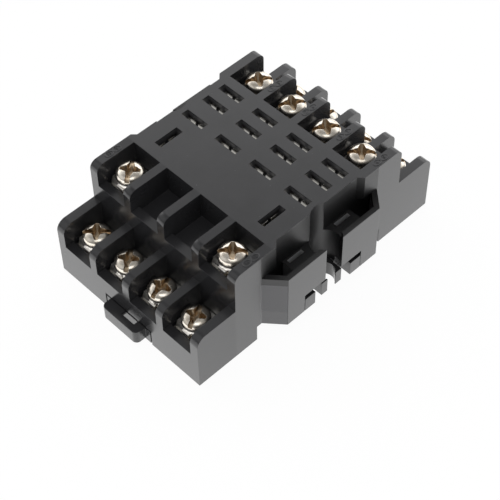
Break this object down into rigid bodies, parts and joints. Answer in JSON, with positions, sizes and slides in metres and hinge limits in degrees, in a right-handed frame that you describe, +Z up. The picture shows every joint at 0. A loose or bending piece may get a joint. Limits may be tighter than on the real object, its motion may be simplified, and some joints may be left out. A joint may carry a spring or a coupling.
{
  "type": "relay socket",
  "caption": "Black rail-mount relay socket with two tiers of screw terminals at each end, contact slots in the deck between them and a sprung rail latch.",
  "frame": {"origin": "middle of the bottom of the bounding box, on the face that the socket stands on, with the latch tab counted", "axes": "+X across the socket, +Y along it from the latch end to the four-way upper terminal end, +Z up out of the deck"},
  "size_m": [0.0504, 0.071, 0.0254],
  "materials": {
    "black_plastic": "semi-gloss moulded",
    "latch_plastic": "semi-gloss moulded",
    "plated_steel": "nickel plated",
    "contact_metal": "nickel-plated brass strip"
  },
  "bodies": {
    "housing": {"housing": "black_plastic", "bottom_cover": "black_plastic", "terminal_upper_1": "contact_metal", "terminal_upper_2": "contact_metal", "terminal_upper_3": "contact_metal", "terminal_upper_4": "contact_metal", "terminal_upper_5": "contact_metal", "terminal_upper_6": "contact_metal", "terminal_lower_1": "contact_metal", "terminal_lower_2": "contact_metal", "terminal_lower_3": "contact_metal", "terminal_lower_4": "contact_metal", "terminal_lower_5": "contact_metal", "terminal_lower_6": "contact_metal", "terminal_lower_7": "contact_metal", "terminal_lower_8": "contact_metal"},
    "rail_latch": {"rail_latch": "latch_plastic"},
    "clamp_upper_1": {"clamp_upper_1": "plated_steel"},
    "screw_upper_1": {"screw_upper_1": "plated_steel"},
    "clamp_upper_2": {"clamp_upper_2": "plated_steel"},
    "screw_upper_2": {"screw_upper_2": "plated_steel"},
    "clamp_upper_3": {"clamp_upper_3": "plated_steel"},
    "screw_upper_3": {"screw_upper_3": "plated_steel"},
    "clamp_upper_4": {"clamp_upper_4": "plated_steel"},
    "screw_upper_4": {"screw_upper_4": "plated_steel"},
    "clamp_upper_5": {"clamp_upper_5": "plated_steel"},
    "screw_upper_5": {"screw_upper_5": "plated_steel"},
    "clamp_upper_6": {"clamp_upper_6": "plated_steel"},
    "screw_upper_6": {"screw_upper_6": "plated_steel"},
    "clamp_lower_1": {"clamp_lower_1": "plated_steel"},
    "screw_lower_1": {"screw_lower_1": "plated_steel"},
    "clamp_lower_2": {"clamp_lower_2": "plated_steel"},
    "screw_lower_2": {"screw_lower_2": "plated_steel"},
    "clamp_lower_3": {"clamp_lower_3": "plated_steel"},
    "screw_lower_3": {"screw_lower_3": "plated_steel"},
    "clamp_lower_4": {"clamp_lower_4": "plated_steel"},
    "screw_lower_4": {"screw_lower_4": "plated_steel"},
    "clamp_lower_5": {"clamp_lower_5": "plated_steel"},
    "screw_lower_5": {"screw_lower_5": "plated_steel"},
    "clamp_lower_6": {"clamp_lower_6": "plated_steel"},
    "screw_lower_6": {"screw_lower_6": "plated_steel"},
    "clamp_lower_7": {"clamp_lower_7": "plated_steel"},
    "screw_lower_7": {"screw_lower_7": "plated_steel"},
    "clamp_lower_8": {"clamp_lower_8": "plated_steel"},
    "screw_lower_8": {"screw_lower_8": "plated_steel"}
  },
  "joints": [
    {"name": "rail_latch_pull", "type": "slide", "parent": "housing", "child": "rail_latch", "axis": [0, -1, 0], "range_m": [0, 0.003], "stiffness_N_per_m": 1200, "springref_m": -0.001},
    {"name": "clamp_upper_1_lift", "type": "slide", "parent": "housing", "child": "clamp_upper_1", "axis": [0, 0, 1], "range_m": [0, 0.0022]},
    {"name": "screw_upper_1_turn", "type": "hinge", "parent": "clamp_upper_1", "child": "screw_upper_1", "pos_m": [-0.015, 0.01985, 0.022], "axis": [0, 0, 1], "range_deg": [0, 1320.5]},
    {"name": "clamp_upper_2_lift", "type": "slide", "parent": "housing", "child": "clamp_upper_2", "axis": [0, 0, 1], "range_m": [0, 0.0022]},
    {"name": "screw_upper_2_turn", "type": "hinge", "parent": "clamp_upper_2", "child": "screw_upper_2", "pos_m": [-0.005, 0.01985, 0.022], "axis": [0, 0, 1], "range_deg": [0, 1320.5]},
    {"name": "clamp_upper_3_lift", "type": "slide", "parent": "housing", "child": "clamp_upper_3", "axis": [0, 0, 1], "range_m": [0, 0.0022]},
    {"name": "screw_upper_3_turn", "type": "hinge", "parent": "clamp_upper_3", "child": "screw_upper_3", "pos_m": [0.005, 0.01985, 0.022], "axis": [0, 0, 1], "range_deg": [0, 1320.5]},
    {"name": "clamp_upper_4_lift", "type": "slide", "parent": "housing", "child": "clamp_upper_4", "axis": [0, 0, 1], "range_m": [0, 0.0022]},
    {"name": "screw_upper_4_turn", "type": "hinge", "parent": "clamp_upper_4", "child": "screw_upper_4", "pos_m": [0.015, 0.01985, 0.022], "axis": [0, 0, 1], "range_deg": [0, 1320.5]},
    {"name": "clamp_upper_5_lift", "type": "slide", "parent": "housing", "child": "clamp_upper_5", "axis": [0, 0, 1], "range_m": [0, 0.0022]},
    {"name": "screw_upper_5_turn", "type": "hinge", "parent": "clamp_upper_5", "child": "screw_upper_5", "pos_m": [-0.015, -0.01715, 0.022], "axis": [0, 0, 1], "range_deg": [0, 1320.5]},
    {"name": "clamp_upper_6_lift", "type": "slide", "parent": "housing", "child": "clamp_upper_6", "axis": [0, 0, 1], "range_m": [0, 0.0022]},
    {"name": "screw_upper_6_turn", "type": "hinge", "parent": "clamp_upper_6", "child": "screw_upper_6", "pos_m": [0.015, -0.01715, 0.022], "axis": [0, 0, 1], "range_deg": [0, 1320.5]},
    {"name": "clamp_lower_1_lift", "type": "slide", "parent": "housing", "child": "clamp_lower_1", "axis": [0, 0, 1], "range_m": [0, 0.0022]},
    {"name": "screw_lower_1_turn", "type": "hinge", "parent": "clamp_lower_1", "child": "screw_lower_1", "pos_m": [-0.015, 0.03015, 0.011], "axis": [0, 0, 1], "range_deg": [0, 1320.5]},
    {"name": "clamp_lower_2_lift", "type": "slide", "parent": "housing", "child": "clamp_lower_2", "axis": [0, 0, 1], "range_m": [0, 0.0022]},
    {"name": "screw_lower_2_turn", "type": "hinge", "parent": "clamp_lower_2", "child": "screw_lower_2", "pos_m": [-0.005, 0.03015, 0.011], "axis": [0, 0, 1], "range_deg": [0, 1320.5]},
    {"name": "clamp_lower_3_lift", "type": "slide", "parent": "housing", "child": "clamp_lower_3", "axis": [0, 0, 1], "range_m": [0, 0.0022]},
    {"name": "screw_lower_3_turn", "type": "hinge", "parent": "clamp_lower_3", "child": "screw_lower_3", "pos_m": [0.005, 0.03015, 0.011], "axis": [0, 0, 1], "range_deg": [0, 1320.5]},
    {"name": "clamp_lower_4_lift", "type": "slide", "parent": "housing", "child": "clamp_lower_4", "axis": [0, 0, 1], "range_m": [0, 0.0022]},
    {"name": "screw_lower_4_turn", "type": "hinge", "parent": "clamp_lower_4", "child": "screw_lower_4", "pos_m": [0.015, 0.03015, 0.011], "axis": [0, 0, 1], "range_deg": [0, 1320.5]},
    {"name": "clamp_lower_5_lift", "type": "slide", "parent": "housing", "child": "clamp_lower_5", "axis": [0, 0, 1], "range_m": [0, 0.0022]},
    {"name": "screw_lower_5_turn", "type": "hinge", "parent": "clamp_lower_5", "child": "screw_lower_5", "pos_m": [-0.015, -0.02745, 0.011], "axis": [0, 0, 1], "range_deg": [0, 1320.5]},
    {"name": "clamp_lower_6_lift", "type": "slide", "parent": "housing", "child": "clamp_lower_6", "axis": [0, 0, 1], "range_m": [0, 0.0022]},
    {"name": "screw_lower_6_turn", "type": "hinge", "parent": "clamp_lower_6", "child": "screw_lower_6", "pos_m": [-0.005, -0.02745, 0.011], "axis": [0, 0, 1], "range_deg": [0, 1320.5]},
    {"name": "clamp_lower_7_lift", "type": "slide", "parent": "housing", "child": "clamp_lower_7", "axis": [0, 0, 1], "range_m": [0, 0.0022]},
    {"name": "screw_lower_7_turn", "type": "hinge", "parent": "clamp_lower_7", "child": "screw_lower_7", "pos_m": [0.005, -0.02745, 0.011], "axis": [0, 0, 1], "range_deg": [0, 1320.5]},
    {"name": "clamp_lower_8_lift", "type": "slide", "parent": "housing", "child": "clamp_lower_8", "axis": [0, 0, 1], "range_m": [0, 0.0022]},
    {"name": "screw_lower_8_turn", "type": "hinge", "parent": "clamp_lower_8", "child": "screw_lower_8", "pos_m": [0.015, -0.02745, 0.011], "axis": [0, 0, 1], "range_deg": [0, 1320.5]}
  ],
  "couplings": [
    {"joint": "screw_upper_1_turn", "follows": "clamp_upper_1_lift", "rad_per_m": 10472},
    {"joint": "screw_upper_2_turn", "follows": "clamp_upper_2_lift", "rad_per_m": 10472},
    {"joint": "screw_upper_3_turn", "follows": "clamp_upper_3_lift", "rad_per_m": 10472},
    {"joint": "screw_upper_4_turn", "follows": "clamp_upper_4_lift", "rad_per_m": 10472},
    {"joint": "screw_upper_5_turn", "follows": "clamp_upper_5_lift", "rad_per_m": 10472},
    {"joint": "screw_upper_6_turn", "follows": "clamp_upper_6_lift", "rad_per_m": 10472},
    {"joint": "screw_lower_1_turn", "follows": "clamp_lower_1_lift", "rad_per_m": 10472},
    {"joint": "screw_lower_2_turn", "follows": "clamp_lower_2_lift", "rad_per_m": 10472},
    {"joint": "screw_lower_3_turn", "follows": "clamp_lower_3_lift", "rad_per_m": 10472},
    {"joint": "screw_lower_4_turn", "follows": "clamp_lower_4_lift", "rad_per_m": 10472},
    {"joint": "screw_lower_5_turn", "follows": "clamp_lower_5_lift", "rad_per_m": 10472},
    {"joint": "screw_lower_6_turn", "follows": "clamp_lower_6_lift", "rad_per_m": 10472},
    {"joint": "screw_lower_7_turn", "follows": "clamp_lower_7_lift", "rad_per_m": 10472},
    {"joint": "screw_lower_8_turn", "follows": "clamp_lower_8_lift", "rad_per_m": 10472}
  ]
}
